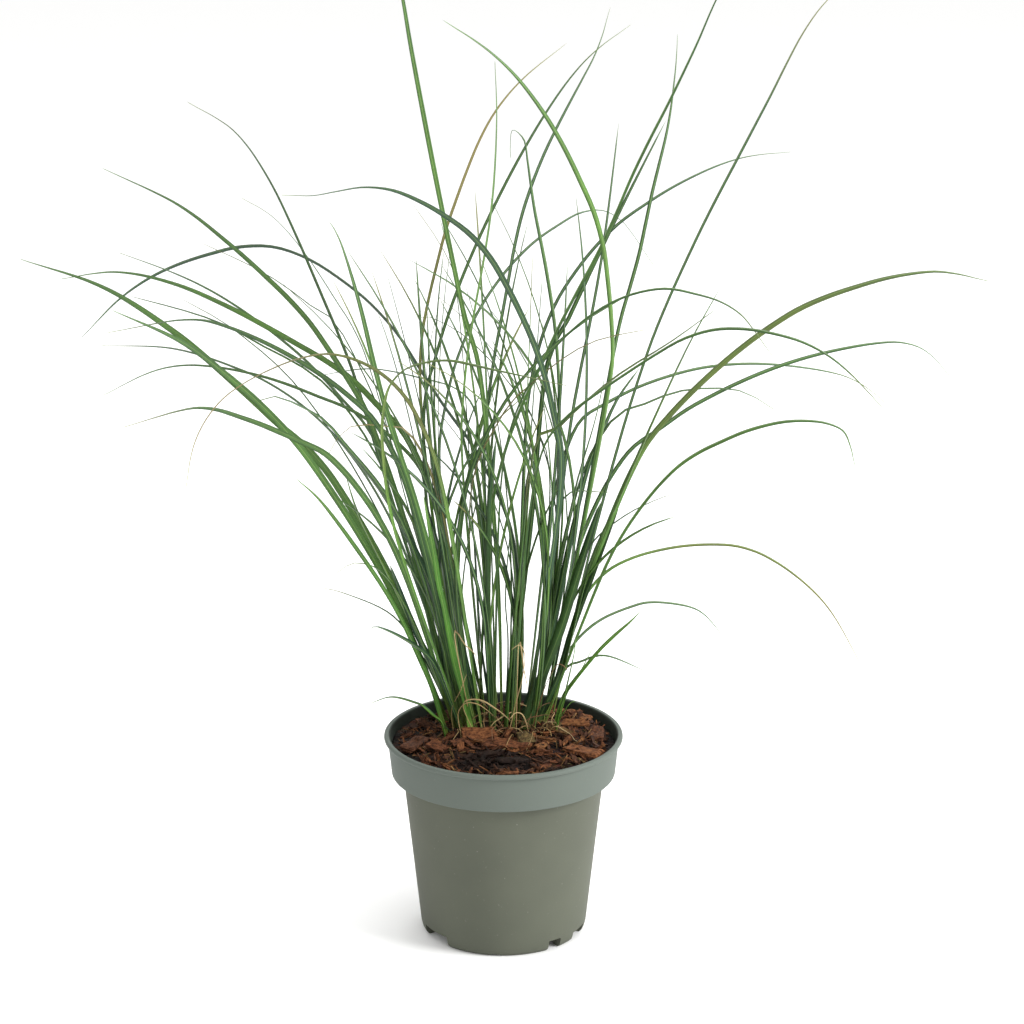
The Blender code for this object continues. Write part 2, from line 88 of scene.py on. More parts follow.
def finishPiece(name, bm, material, replaced=(), sharpAngle=None):
    mesh = bpy.data.meshes.new(name)
    bm.to_mesh(mesh)
    bm.free()
    mesh.materials.append(material)
    mesh.polygons.foreach_set("use_smooth", [True] * len(mesh.polygons))
    if sharpAngle:
        mesh.set_sharp_from_angle(angle=math.radians(sharpAngle))
    piece = bpy.data.objects.new(name, mesh)
    scene.collection.objects.link(piece)
    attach(piece, "root")
    if replaced:
        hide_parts(*replaced)
    return piece


def mergedCopy(nodeName):  # a CAD node's loose triangles, welded in a copy
    bm = bmesh.new()
    bm.from_mesh(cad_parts[nodeName].data)
    bmesh.ops.remove_doubles(bm, verts=bm.verts, dist=0.002 * mm)
    return bm


def spunShell(outline, turnSteps):  # outline of (radius, height) from axis to axis
    bm = bmesh.new()
    corners = [bm.verts.new((radius, 0, height)) for radius, height in outline]
    for start, end in zip(corners, corners[1:]):
        bm.edges.new((start, end))
    bmesh.ops.spin(bm, geom=bm.verts[:] + bm.edges[:], axis=(0, 0, 1), cent=(0, 0, 0),
                   angle=2 * math.pi, steps=turnSteps, use_merge=True)
    bmesh.ops.remove_doubles(bm, verts=bm.verts, dist=0.005 * mm)
    bmesh.ops.recalc_face_normals(bm, faces=bm.faces)
    if bm.calc_volume(signed=True) < 0:
        bmesh.ops.reverse_faces(bm, faces=bm.faces)
    return bm


potFinish = {  # each pair is where a change starts and where it is complete, in metres
    "collarHeights": (0.1318, 0.1326),
    # painted shade on the inside of the wall starts and is complete between these heights
    "innerShadeHeights": (0.130, 0.135),
    "flare": 0.107,  # how far the wall opens for each metre up
    "innerRadii": (0.0735, 0.0742),  # between the two skins of the wall, less the flare
}


def mouldedPolypropylene():
    # injection-moulded polypropylene: dull grey-green, with a painted reflection that makes the
    # collar cooler and paler, a soft wide sheen, a faint pebble from the mould, pale specks, and
    # painted shade darkening the inside above the compost
    material, tree, shader = newMaterial("moulded grey-green polypropylene")
    collarLow, collarHigh = potFinish["collarHeights"]
    innerShadeLow, innerShadeHigh = potFinish["innerShadeHeights"]
    innerLow, innerHigh = potFinish["innerRadii"]
    place = addNode(tree, "TexCoord").outputs["Object"]
    cloud = addNode(tree, "TexNoise", {"Vector": place, "Scale": 14, "Detail": 3})
    base = addNode(tree, "ValToRGB", {0: cloud}, stops=[(0.3, "#515449"), (0.7, "#585b4f")])
    speck = addNode(tree, "TexNoise", {"Vector": place, "Scale": 420, "Detail": 2})
    speckMask = addNode(tree, "MapRange", {0: speck, 1: 0.72, 2: 0.78, 3: 0.0, 4: 0.4})
    specked = addNode(tree, "Mix", {0: speckMask, 6: base, 7: "#8d8f84"}, data_type="RGBA")
    split = addNode(tree, "SeparateXYZ", {0: place})
    # painted reflection: the collar is mixed towards a cooler, paler grey-green for the sky light
    # it reflects
    collar = addNode(tree, "MapRange",
                     {0: split.outputs[2], 1: collarLow, 2: collarHigh, 3: 0.0, 4: 0.7})
    paintedSkyReflection = addNode(tree, "Mix", {0: collar, 6: specked.outputs[2], 7: "#5f6863"},
                       data_type="RGBA")
    flat = addNode(tree, "CombineXYZ", {0: split, 1: split.outputs[1]})
    radius = addNode(tree, "VectorMath", {0: flat}, operation="LENGTH")
    flare = addNode(tree, "Math", {0: split.outputs[2], 1: potFinish["flare"]},
                    operation="MULTIPLY")
    upright = addNode(tree, "Math", {0: radius.outputs["Value"], 1: flare}, operation="SUBTRACT")
    # painted shade: the inside of the wall above the compost is mixed towards a near-black green
    # for the shade under the rim
    inside = addNode(tree, "MapRange", {0: upright, 1: innerLow, 2: innerHigh, 3: 1.0, 4: 0.0})
    above = addNode(tree, "MapRange",
                    {0: split.outputs[2], 1: innerShadeLow, 2: innerShadeHigh, 3: 0.0, 4: 0.82})
    paintedInnerShade = addNode(tree, "Math", {0: inside, 1: above}, operation="MULTIPLY")
    skin = addNode(tree, "Mix", {0: paintedInnerShade, 6: paintedSkyReflection.outputs[2], 7: "#262c25"},
                   data_type="RGBA")
    shine = addNode(tree, "MapRange", {0: cloud, 3: 0.58, 4: 0.70})
    pebble = addNode(tree, "TexNoise", {"Vector": place, "Scale": 900, "Detail": 2})
    bump = addNode(tree, "Bump", {"Strength": 0.12, "Distance": 0.0003, "Height": pebble})
    setInputs(tree, shader, {"Base Color": skin.outputs[2], "Roughness": shine, "Normal": bump,
                             "IOR": 1.49, "Specular IOR Level": 0.22})
    return material


def compost():
    # damp peat and bark compost: near-black peat between red-brown crumbs, dull and rough
    material, tree, shader = newMaterial("damp peat and bark compost")
    place = addNode(tree, "TexCoord").outputs["Object"]
    crumb = addNode(tree, "TexVoronoi", {"Vector": place, "Scale": 260})
    patch = addNode(tree, "TexNoise", {"Vector": place, "Scale": 60, "Detail": 6})
    tones = addNode(tree, "ValToRGB", {0: patch}, stops=[(0.34, "#0f0b09"), (0.52, "#231712"),
                                                         (0.66, "#4a2e1e"), (0.80, "#6d452c")])
    grain = addNode(tree, "Mix", {0: 0.5, 6: tones, 7: crumb.outputs["Color"]}, data_type="RGBA",
                    blend_type="MULTIPLY")
    bump = addNode(tree, "Bump", {"Strength": 0.8, "Distance": 0.0015,
                                  "Height": crumb.outputs["Distance"]})
    setInputs(tree, shader, {"Base Color": grain.outputs[2], "Roughness": 0.92, "Normal": bump,
                             "Specular IOR Level": 0.22})
    return material


def pineBark():
    # shredded pine bark: each chip its own red, tan or dark brown, with a corky grain along it
    material, tree, shader = newMaterial("shredded pine bark")
    place = addNode(tree, "TexCoord").outputs["Object"]
    tone, along, across = [addNode(tree, "Attribute", attribute_name=layer).outputs["Fac"]
                           for layer in chipLayers]
    tones = addNode(tree, "ValToRGB", {0: tone}, stops=[
        (0.0, "#1a110c"), (0.22, "#342118"), (0.45, "#4f3221"), (0.62, "#683f27"),
        (0.78, "#835431"), (0.88, "#574c2d"), (1.0, "#98734a")])
    drawnOut = addNode(tree, "Math", {0: along, 1: 0.14}, operation="MULTIPLY")
    ownPlace = addNode(tree, "Math", {0: tone, 1: 90.0}, operation="MULTIPLY")
    fibre = addNode(tree, "CombineXYZ", {0: drawnOut, 1: across, 2: ownPlace})
    streaks = addNode(tree, "TexNoise", {"Vector": fibre, "Scale": 1.1, "Detail": 4,
                                         "Distortion": 0.4})
    pits = addNode(tree, "TexNoise", {"Vector": place, "Scale": 420, "Detail": 4})
    grain = addNode(tree, "Mix", {0: 0.4, 2: streaks, 3: pits})
    shade = addNode(tree, "ValToRGB", {0: grain}, stops=[(0.38, "#3a302a"), (0.47, "#a2917f"),
                                                         (0.58, "#ffffff")])
    worn = addNode(tree, "Mix", {0: 0.85, 6: tones, 7: shade}, data_type="RGBA",
                   blend_type="MULTIPLY")
    bump = addNode(tree, "Bump", {"Strength": 0.7, "Distance": 0.0006, "Height": grain})
    setInputs(tree, shader, {"Base Color": worn.outputs[2], "Roughness": 0.88, "Normal": bump,
                             "Specular IOR Level": 0.22})
    return material


def grassLeaf(name, tones, sheath, tip):
    # living grass blade: long veins side by side, a pale midrib, a satin skin, a pale sheath, and
    # a dark or browned tip; veins stand 0.5 mm apart and are drawn 1.1 mm apart to show
    material, tree, shader = newMaterial(name)
    along, across, tone, dryness = [
        addNode(tree, "Attribute", attribute_name=layer).outputs["Fac"] for layer in leafLayers]
    place = addNode(tree, "TexCoord").outputs["Object"]
    green = addNode(tree, "ValToRGB", {0: tone}, stops=tones)
    mottle = addNode(tree, "TexNoise", {"Vector": place, "Scale": 45, "Detail": 3})
    mottled = addNode(tree, "MapRange", {0: mottle, 1: 0.3, 2: 0.7, 3: 0.80, 4: 1.18})
    lively = addNode(tree, "HueSaturation", {"Value": mottled, "Color": green})
    foot = addNode(tree, "MapRange", {0: along, 1: 0.0, 2: 0.10, 3: 0.75, 4: 0.0})
    footed = addNode(tree, "Mix", {0: foot, 6: lively, 7: sheath}, data_type="RGBA")
    faded = addNode(tree, "MapRange", {0: along, 1: 0.72, 2: 1.0, 3: 0.0, 4: 0.45})
    fading = addNode(tree, "Mix", {0: faded, 6: footed.outputs[2], 7: tip}, data_type="RGBA")
    starts = addNode(tree, "MapRange", {0: dryness, 3: 1.05, 4: 0.55})
    past = addNode(tree, "Math", {0: along, 1: starts}, operation="SUBTRACT")
    browned = addNode(tree, "MapRange", {0: past, 1: 0.0, 2: 0.2, 3: 0.0, 4: 0.9})
    browning = addNode(tree, "Mix", {0: browned, 6: fading.outputs[2], 7: "#7d6840"},
                       data_type="RGBA")
    turns = addNode(tree, "Math", {0: across, 1: 2 * math.pi / leafVeinGap}, operation="MULTIPLY")
    wave = addNode(tree, "Math", {0: turns}, operation="COSINE")
    rib = addNode(tree, "MapRange", {0: wave, 1: -1.0, 2: 1.0, 3: 0.86, 4: 1.12})
    ribbed = addNode(tree, "HueSaturation", {"Value": rib, "Color": browning.outputs[2]})
    offMiddle = addNode(tree, "Math", {0: across}, operation="ABSOLUTE")
    midrib = addNode(tree, "MapRange", {0: offMiddle, 1: 0.15, 2: 0.45, 3: 0.35, 4: 0.0})
    skin = addNode(tree, "Mix", {0: midrib, 6: ribbed, 7: "#8fae5c"}, data_type="RGBA")
    satin = addNode(tree, "MapRange", {0: mottle, 3: 0.36, 4: 0.52})
    bump = addNode(tree, "Bump", {"Strength": 0.5, "Distance": 0.0002, "Height": wave})
    setInputs(tree, shader, {"Base Color": skin.outputs[2], "Roughness": satin, "Normal": bump,
                             "IOR": 1.42})
    return material


def dryStraw():
    # dead grass leaf: bleached tan with browner streaks along it, papery and dull
    material, tree, shader = newMaterial("dry grass straw")
    along, across, tone = [addNode(tree, "Attribute", attribute_name=layer).outputs["Fac"]
                           for layer in leafLayers[:3]]
    place = addNode(tree, "TexCoord").outputs["Object"]
    tan = addNode(tree, "ValToRGB", {0: tone}, stops=[(0.0, "#6b4a2f"), (0.5, "#8f7448"),
                                                      (1.0, "#bda679")])
    streak = addNode(tree, "TexNoise", {"Vector": place, "Scale": 160, "Detail": 4})
    shade = addNode(tree, "MapRange", {0: streak, 3: 0.62, 4: 1.3})
    streaked = addNode(tree, "HueSaturation", {"Value": shade, "Color": tan})
    pinch = addNode(tree, "Math", {0: along, 1: across}, operation="MULTIPLY")
    creases = addNode(tree, "TexNoise", {"Vector": place, "Scale": 500, "Detail": 2})
    height = addNode(tree, "Math", {0: creases, 1: pinch}, operation="ADD")
    bump = addNode(tree, "Bump", {"Strength": 0.4, "Distance": 0.0004, "Height": height})
    setInputs(tree, shader, {"Base Color": streaked, "Roughness": 0.72, "Normal": bump})
    return material


potPlastic = mouldedPolypropylene()
compostMix = compost()
barkMix = pineBark()
leafTones = [(0.0, "#274530"), (0.25, "#304f2d"), (0.5, "#3d6029"), (0.75, "#4e752b"),
             (0.9, "#57602b"), (1.0, "#63542e")]  # blue-green, green, bright, olive, brown
youngTones = [(0.0, "#335f1d"), (0.5, "#3f6d20"), (1.0, "#5c8529")]
greenLeaf = grassLeaf("living grass leaf", leafTones, "#6f7a3a", "#34504a")
youngLeaf = grassLeaf("young grass leaf", youngTones, "#8d9c48", "#5c8238")
straw = dryStraw()
print("materials made")


# the pot is spun from its outline, its rings rounded and its drain notches cut
potSettings = {
    "turnSteps": 192,
    "outline": [  # (radius, height, rounding) in millimetres, from the inner floor to the foot
        (0, 11.8, 0), (65.2, 11.8, 2.5), (78.1, 133.5, 1.0), (87.2, 134.5, 2.0),
        (90.2, 161.4, 0.5), (90.4, 163.6, 0.6), (91.2, 164.5, 0.5), (94.2, 164.5, 0.8),
        (95.0, 163.4, 0.8), (95.0, 162.0, 0.6), (94.2, 160.9, 0.6), (92.0, 160.7, 0.7),
        (89.1, 132.5, 0.9), (80.2, 132.0, 0.7), (66.5, 6.0, 2.0), (65.4, 2.4, 1.0),
        (63.0, 0, 0.7), (57.0, 0, 0.7), (61.2, 10.0, 0.6), (0, 10.0, 0)],
    "roundingSteps": 4,
    "guard": 0.6,  # a row of points this far past each rounding keeps its shading narrow
    "notches": [(-56, 29, 9.5), (38, 11, 9), (65, 18, 8), (-6, 8, 1.5), (125, 27, 9.5),
                (-125, 27, 9.5), (180, 15, 2)],  # angle from the front, width in degrees, height
    "notchDepth": 18.0,
    "notchRounding": 0.9,
    "footMiddle": 62.0,
    "sharpAngle": 38,
}


def roundedOutline():
    outline = potSettings["outline"]
    steps = potSettings["roundingSteps"]
    points = [Vector(outline[0][:2])]
    for before, corner, after in zip(outline, outline[1:], outline[2:]):
        middle, rounding = Vector(corner[:2]), corner[2]
        into, out = Vector(before[:2]) - middle, Vector(after[:2]) - middle
        reach = rounding + potSettings["guard"]
        if into.length > 2 * (reach + before[2]):
            points.append(middle + into.normalized() * reach)
        start = middle + into.normalized() * rounding
        end = middle + out.normalized() * rounding
        for step in range(steps + 1):
            share = step / steps
            points.append(start.lerp(middle, share).lerp(middle.lerp(end, share), share))
        if out.length > 2 * (reach + after[2]):
            points.append(middle + out.normalized() * reach)
    return points + [Vector(outline[-1][:2])]


def notchCutter(angle, width, height):
    cut = bmesh.new()
    bmesh.ops.create_cube(cut, size=1)
    across = 2 * potSettings["footMiddle"] * math.sin(math.radians(width) / 2)
    bmesh.ops.scale(cut, verts=cut.verts,
                    vec=Vector((across, potSettings["notchDepth"], 2 * height)) * mm)
    topEdges = [edge for edge in cut.edges if all(vert.co.z > 0 for vert in edge.verts)
                and abs(edge.verts[0].co.y - edge.verts[1].co.y) > 1 * mm]
    bmesh.ops.bevel(cut, geom=topEdges, offset=potSettings["notchRounding"] * mm,
                    affect="EDGES", segments=3, profile=0.5, material=-1)
    bmesh.ops.translate(cut, verts=cut.verts, vec=(0, -potSettings["footMiddle"] * mm, 0))
    bmesh.ops.rotate(cut, verts=cut.verts, matrix=Matrix.Rotation(math.radians(angle), 3, "Z"))
    mesh = bpy.data.meshes.new("notch")
    cut.to_mesh(mesh)
    cut.free()
    cutter = bpy.data.objects.new("notch", mesh)
    scene.collection.objects.link(cutter)
    return cutter


def makePot():
    bm = spunShell([(place.x * mm, place.y * mm) for place in roundedOutline()],
                   potSettings["turnSteps"])
    pot = finishPiece("moulded_pot", bm, potPlastic, ["pot"])
    cutters = [notchCutter(*notch) for notch in potSettings["notches"]]
    for cutter in cutters:
        step = pot.modifiers.new("notch", "BOOLEAN")
        step.object = cutter
        step.operation = "DIFFERENCE"
    cutMesh = bpy.data.meshes.new_from_object(
        pot.evaluated_get(bpy.context.evaluated_depsgraph_get()))
    pot.modifiers.clear()
    pot.data = cutMesh
    cutMesh.set_sharp_from_angle(angle=math.radians(potSettings["sharpAngle"]))
    for cutter in cutters:
        bpy.data.objects.remove(cutter)


makePot()
print("pot made")


# the compost is a plug as the CAD has it, with a lumpy top
soilSettings = {
    "moundMm": 9.0,
    "rimRadiusMm": 95.0,
    "edgeRadiusMm": 89.0,
    "sideMm": [(86, 135.7), (75.5, 134.5), (64.9, 15.4), (61.5, 12.2), (0, 12.2)],
    "rings": 52,
    "turnSteps": 170,
    "lumps": [(0.016, 0.0022), (0.006, 0.0011), (0.0025, 0.0005)],  # lump size, its height
}
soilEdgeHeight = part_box("soil")[1].z - soilSettings["moundMm"] * mm


def soilHeight(right, back):
    offCentre = math.hypot(right, back) / (soilSettings["rimRadiusMm"] * mm)
    return soilEdgeHeight + soilSettings["moundMm"] * mm * max(0.0, 1 - offCentre * offCentre)


def lumpHeight(right, back):
    return sum(height * noise.noise(Vector((right, back, 0.37)) / size)
               for size, height in soilSettings["lumps"])


def makeCompost():
    edge = soilSettings["edgeRadiusMm"] * mm
    rings = soilSettings["rings"]
    outline = [(edge * ring / rings, soilEdgeHeight) for ring in range(rings + 1)]
    outline += [(radius * mm, height * mm) for radius, height in soilSettings["sideMm"]]
    bm = spunShell(outline, soilSettings["turnSteps"])
    for vert in bm.verts:
        if vert.co.z > soilEdgeHeight - 1 * mm:
            vert.co.z = soilHeight(vert.co.x, vert.co.y) + lumpHeight(vert.co.x, vert.co.y)
    finishPiece("compost_plug", bm, compostMix, ["soil"])


makeCompost()
print("compost made")


# bark, peat and fibres lie on the compost
chipSettings = {
    "seed": 11,
    "batch": 50,  # chips made at a time, because operators slow down on a large mesh
    # name: (count, length range, width share, thickness share, tilt, tones)
    "bark_slabs": (64, (11, 24), (0.2, 0.38), (0.08, 0.14), 15, (0.4, 0.84)),
    "bark_chips": (620, (4, 14), (0.2, 0.5), (0.08, 0.18), 26, (0.15, 0.85)),
    "bark_shreds": (900, (3.5, 15), (0.06, 0.15), (0.05, 0.1), 30, (0.25, 1.0)),
    "peat_crumbs": (1000, (1.2, 4.2), (0.6, 0.95), (0.5, 0.9), 60, (0.0, 0.6)),
    "pile": (-0.2 * cm, -1.4 * cm, 3.8 * cm, 1.6 * cm, 6.5 * mm),  # right, back, reach, height
    "rightBank": 3.0 * mm,  # the chips are heaped this much higher along the right edge
    "layFreeMm": 85.0,
    "darkPatch": (-0.8 * cm, -5.4 * cm, 2.9 * cm, 1.7 * cm),  # right, back, half width, depth
    # right, back and lift in mm, (length, width, thickness), turn, (tilt across, along), tone
    "placed": [
        (-19, -15, 6.0, (25, 13, 2.0), 6, (38, -6), 0.70),
        (18, -23, 6.5, (13, 12, 1.8), 20, (36, 4), 0.88),
        (2, -30, 4.5, (20, 8, 1.8), -14, (24, 8), 0.66),
        (-33, -22, 4.0, (17, 7, 1.6), 32, (20, 0), 0.55),
        (31, -30, 4.0, (18, 6, 1.6), 58, (18, 6), 0.80),
        (46, 2, 5.0, (24, 7, 1.6), -28, (16, 8), 0.84),
        (58, 20, 6.0, (21, 8, 1.8), -8, (22, 0), 0.78),
        (-52, -28, 4.0, (16, 9, 1.8), -40, (18, 6), 0.62)],
    "bend": 0.25,
    "taper": (0.25, 0.8),
    "ragged": (0.78, 1.12),
    "toneSpread": 0.03,
    "shorter": (0.6, 1.0),
    "crumbLiftMm": (-0.6, 1.8),
    "chipLiftMm": (0, 3),
    "darkTone": 0.22,  # share of its tone that a chip in the dark patch keeps
    "sharpAngle": 50,
}


def newChipMesh():
    bm = bmesh.new()
    return bm, [bm.verts.layers.float.new(name) for name in chipLayers]


def addChip(bm, layers, size, place, turn, tilt, tone, crumbly=False, cuts=1):
    if crumbly:
        made = bmesh.ops.create_icosphere(bm, subdivisions=1, radius=0.5)["verts"]
    else:
        made = bmesh.ops.create_cube(bm, size=1)["verts"]
        edges = list({edge for vert in made for edge in vert.link_edges})
        inner = bmesh.ops.subdivide_edges(bm, edges=edges, cuts=cuts, use_grid_fill=True)
        bm.verts.index_update()
        made = sorted({vert for item in inner["geom_inner"] if isinstance(item, bmesh.types.BMVert)
                       for edge in item.link_edges for vert in edge.verts},
                      key=lambda vert: vert.index)
    bend = random.uniform(-chipSettings["bend"], chipSettings["bend"])
    taper = random.uniform(*chipSettings["taper"])
    spread = chipSettings["toneSpread"]
    for vert in made:
        vert[layers[0]] = tone + random.uniform(-spread, spread)
        vert[layers[1]] = vert.co.x * size[0] / mm
        vert[layers[2]] = (vert.co.y * size[1] + vert.co.z * size[2]) / mm
        ragged = random.uniform(*chipSettings["ragged"])
        narrowing = 1 - taper * max(0.0, vert.co.x) * 1.6
        vert.co = Vector((vert.co.x * size[0] * ragged,
                          (vert.co.y * narrowing * ragged + bend * vert.co.x ** 2) * size[1],
                          (vert.co.z * ragged) * size[2] + bend * vert.co.x ** 2 * size[0] * 0.3))
    for angle, axis in zip((*tilt, turn), "XYZ"):
        bmesh.ops.rotate(bm, verts=made, matrix=Matrix.Rotation(angle, 3, axis))
    bmesh.ops.translate(bm, verts=made, vec=place)


def strewnChip(name):  # size, place, turn, tilt and tone of one chip
    lengths, widths, thicknesses, tiltRange, toneRange = chipSettings[name][1:]
    length = random.uniform(*lengths) * random.uniform(*chipSettings["shorter"]) * mm
    size = (length, length * random.uniform(*widths), length * random.uniform(*thicknesses))
    reach = chipSettings["layFreeMm"] * mm - 0.45 * length
    radius = reach * math.sqrt(random.random())
    angle = random.uniform(0, 2 * math.pi)
    right, back = radius * math.cos(angle), radius * math.sin(angle)
    crumbly = name == "peat_crumbs"
    lift = random.uniform(*chipSettings["crumbLiftMm" if crumbly else "chipLiftMm"]) * mm
    tilt = [math.radians(random.gauss(0, tiltRange)) for axis in range(2)]
    pileRight, pileBack, pileWide, pileDeep, pileHeight = chipSettings["pile"]
    onPile = 1 - math.hypot((right - pileRight) / pileWide, (back - pileBack) / pileDeep)
    lift += max(0.0, onPile) * pileHeight * random.random()
    lift += max(0.0, right / reach) * chipSettings["rightBank"] * random.random()
    darkRight, darkBack, darkWide, darkDeep = chipSettings["darkPatch"]
    inDark = math.hypot((right - darkRight) / darkWide, (back - darkBack) / darkDeep) < 1
    tone = random.uniform(*toneRange) * (chipSettings["darkTone"] if inDark else 1.0)
    return (size, (right, back, soilHeight(right, back) + lift), random.uniform(0, 2 * math.pi),
            tilt, tone)


def strewChips(name):
    count = chipSettings[name][0]
    crumbly = name == "peat_crumbs"
    whole = bmesh.new()
    batchMesh = bpy.data.meshes.new("batch")
    for start in range(0, count, chipSettings["batch"]):
        bm, layers = newChipMesh()
        for number in range(start, min(count, start + chipSettings["batch"])):
            addChip(bm, layers, *strewnChip(name), crumbly, 3 if name == "bark_slabs" else 1)
        bm.to_mesh(batchMesh)
        bm.free()
        whole.from_mesh(batchMesh)
    bpy.data.meshes.remove(batchMesh)
    finishPiece(name, whole, barkMix,
                sharpAngle=chipSettings["sharpAngle"])


def placeChips():  # the large chips that lie where anyone would notice them
    bm, layers = newChipMesh()
    for right, back, lift, size, turn, tilt, tone in chipSettings["placed"]:
        right, back = right * mm, back * mm
        place = (right, back, soilHeight(right, back) + lift * mm)
        addChip(bm, layers, [side * mm for side in size], place, math.radians(turn),
                [math.radians(angle) for angle in tilt], tone, cuts=4)
    finishPiece("placed_chips", bm, barkMix, sharpAngle=chipSettings["sharpAngle"])


flakeSettings = {
    "tones": {"front": 0.60, "left": 0.5, "right": 0.72, "back": 0.8, "side": 0.55},
    "flakeRoughness": 0.5,  # millimetres
    "clodTone": 0.06,
    "clodRoughness": 1.1,
    "corkMm": 4,
    "corkShape": (0.9, 2.2, 4),  # how fast its detail fades, how fine each step is, steps
    "patchMm": 6,
    "patchTone": 0.05,
    "sharpAngle": 60,
}


def weatheredCopy(nodeName, pieceName, tone, roughness):
    bm = mergedCopy(nodeName)
    layers = [bm.verts.layers.float.new(name) for name in chipLayers]
    middle = sum((vert.co for vert in bm.verts), Vector()) / len(bm.verts)
    longWay = (max(bm.verts, key=lambda vert: (vert.co - middle).length).co - middle).normalized()
    crossWay = longWay.cross(Vector((0, 0, 1)))
    for level in range(2):
        bmesh.ops.subdivide_edges(bm, edges=bm.edges, cuts=1, use_grid_fill=True, smooth=0.35)
    bm.normal_update()
    for vert in bm.verts:
        cork = noise.fractal(vert.co / (flakeSettings["corkMm"] * mm), *flakeSettings["corkShape"])
        patch = noise.noise(vert.co / (flakeSettings["patchMm"] * mm))
        vert[layers[0]] = tone + flakeSettings["patchTone"] * patch
        vert[layers[1]] = (vert.co - middle).dot(longWay) / mm
        vert[layers[2]] = ((vert.co - middle).dot(crossWay) + vert.co.z - middle.z) / mm
        vert.co += vert.normal * cork * roughness * mm
    finishPiece(pieceName, bm, barkMix, [nodeName], flakeSettings["sharpAngle"])


random.seed(chipSettings["seed"])
for strewn in ("bark_slabs", "bark_chips", "bark_shreds", "peat_crumbs"):
    strewChips(strewn)
placeChips()
for where, flakeTone in flakeSettings["tones"].items():
    weatheredCopy(f"bark_flake_{where}", f"weathered_flake_{where}", flakeTone,
                  flakeSettings["flakeRoughness"])
weatheredCopy("peat_clod", "crumbly_clod", flakeSettings["clodTone"],
              flakeSettings["clodRoughness"])
print("bark and peat made")


# each leaf is a thin closed skin wrapped round a spine
leafSettings = {
    "around": 8,
    "ringsLong": 80,
    "mapRows": 8,  # a leaf's own map is cut in this many strips, one above the other
    "thickness": 0.7 * mm,
    "breadth": 0.88,  # share of its whole width that a half-rolled leaf shows
    "leftBreadth": 1.14,  # the leaves of the left fan lie open
    "leftFan": -120 * mm,  # tips farther left than this belong to it
    "footShare": 0.55,  # a blade folds up to this share of its width at its foot
    "unfolded": 0.34,
    "sheathFold": 52.0,  # degrees that each half of the blade rises from flat
    "bladeFold": 24.0,
    "foldOpens": 0.35,
    "tipStarts": 0.80,
    "tipNarrows": 0.5,
    "tipSkin": 0.6,  # share of the thickness that is left at the tip
    "rootDepth": 4 * mm,
    "mapMargins": (0.01, 0.08),  # bare edge of a strip's map, along it and across it
}
sightFrom = Vector((0.68, -233.2, 105.3))  # centimetres; front routes are drawn from here


def smoothAt(points, where):  # Catmull-Rom through the points; where counts the gaps
    gap = min(int(where), len(points) - 2)
    t = where - gap
    start, end = points[gap], points[gap + 1]
    before = points[gap - 1] if gap else 2 * start - end
    after = points[gap + 2] if gap + 2 < len(points) else 2 * end - start
    return 0.5 * (2 * start + (end - before) * t
                  + (2 * before - 5 * start + 4 * end - after) * t ** 2
                  + (3 * start - before - 3 * end + after) * t ** 3)


def frameSpine(nodeName):  # centre, side direction and width at each ring of a CAD leaf
    bm = mergedCopy(nodeName)
    ring = sorted(bm.verts, key=lambda vert: vert.co.z)[:3]
    seen = set(ring)
    stations = []
    while ring:
        centre = sum((vert.co for vert in ring), Vector()) / len(ring)
        pairs = [(ring[0], ring[1]), (ring[1], ring[2]), (ring[2], ring[0])]
        left, right = max(pairs, key=lambda pair: (pair[0].co - pair[1].co).length)
        side = right.co - left.co
        if stations and side.dot(stations[-1][1]) < 0:
            side.negate()
        stations.append((centre, side.normalized(), side.length))
        nextRing = {other for vert in ring for edge in vert.link_edges
                    for other in edge.verts if other not in seen}
        seen |= nextRing
        ring = sorted(nextRing, key=lambda vert: vert.index)
    bm.free()
    return stations


def denseSpine(stations, rings):
    spine = []
    centres = [station[0] for station in stations]
    for ring in range(rings + 1):
        where = ring / rings * (len(stations) - 1)
        gap = min(int(where), len(stations) - 2)
        share = where - gap
        side = stations[gap][1].lerp(stations[gap + 1][1], share)
        width = stations[gap][2] * (1 - share) + stations[gap + 1][2] * share
        spine.append([smoothAt(centres, where), side, width])
    return spine


